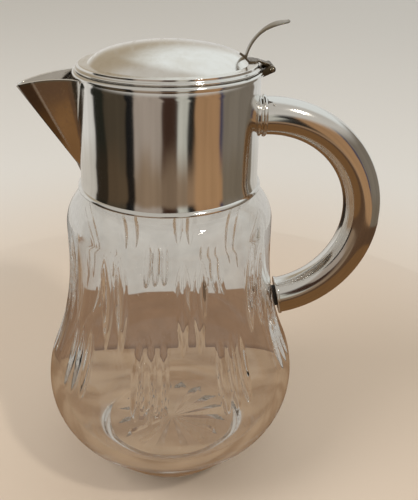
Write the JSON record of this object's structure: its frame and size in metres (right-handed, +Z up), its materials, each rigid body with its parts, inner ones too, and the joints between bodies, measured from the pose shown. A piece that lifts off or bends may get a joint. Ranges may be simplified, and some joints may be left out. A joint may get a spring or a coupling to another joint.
{
  "type": "claret jug",
  "caption": "Cut crystal claret jug with a plated mount, beak spout, bent tube handle and a domed lid that opens on a pinned hinge with a thumb piece.",
  "frame": {"origin": "centre of the flat base, on the surface that the jug stands on", "axes": "+Z up along the jug's axis, -X towards the spout, +X towards the handle and the lid's hinge"},
  "size_m": [0.1972, 0.1444, 0.2578],
  "materials": {
    "crystal": "polished",
    "silver_plate": "polished",
    "plaster": "matte",
    "pad": "matte"
  },
  "bodies": {
    "jug": {"glass_body": "crystal", "neck_cement": "plaster", "mount_band": "silver_plate", "mount_foot_bead": "silver_plate", "mount_top_bead": "silver_plate", "spout_beak": "silver_plate", "hinge_lug": "silver_plate", "hinge_pin": "silver_plate", "handle_socket": "silver_plate", "handle_ferrule": "silver_plate", "handle_tube": "silver_plate", "handle_end_ring": "silver_plate", "handle_end_cap": "silver_plate", "handle_pad": "pad"},
    "lid": {"lid_dome": "silver_plate", "lid_rim": "silver_plate", "lid_bezel": "silver_plate", "hinge_leaf": "silver_plate", "thumb_piece": "silver_plate"}
  },
  "joints": [
    {"name": "lid_hinge", "type": "hinge", "parent": "jug", "child": "lid", "pos_m": [0.0522, 0, 0.23333], "axis": [0, 1, 0], "range_deg": [0, 100]}
  ]
}
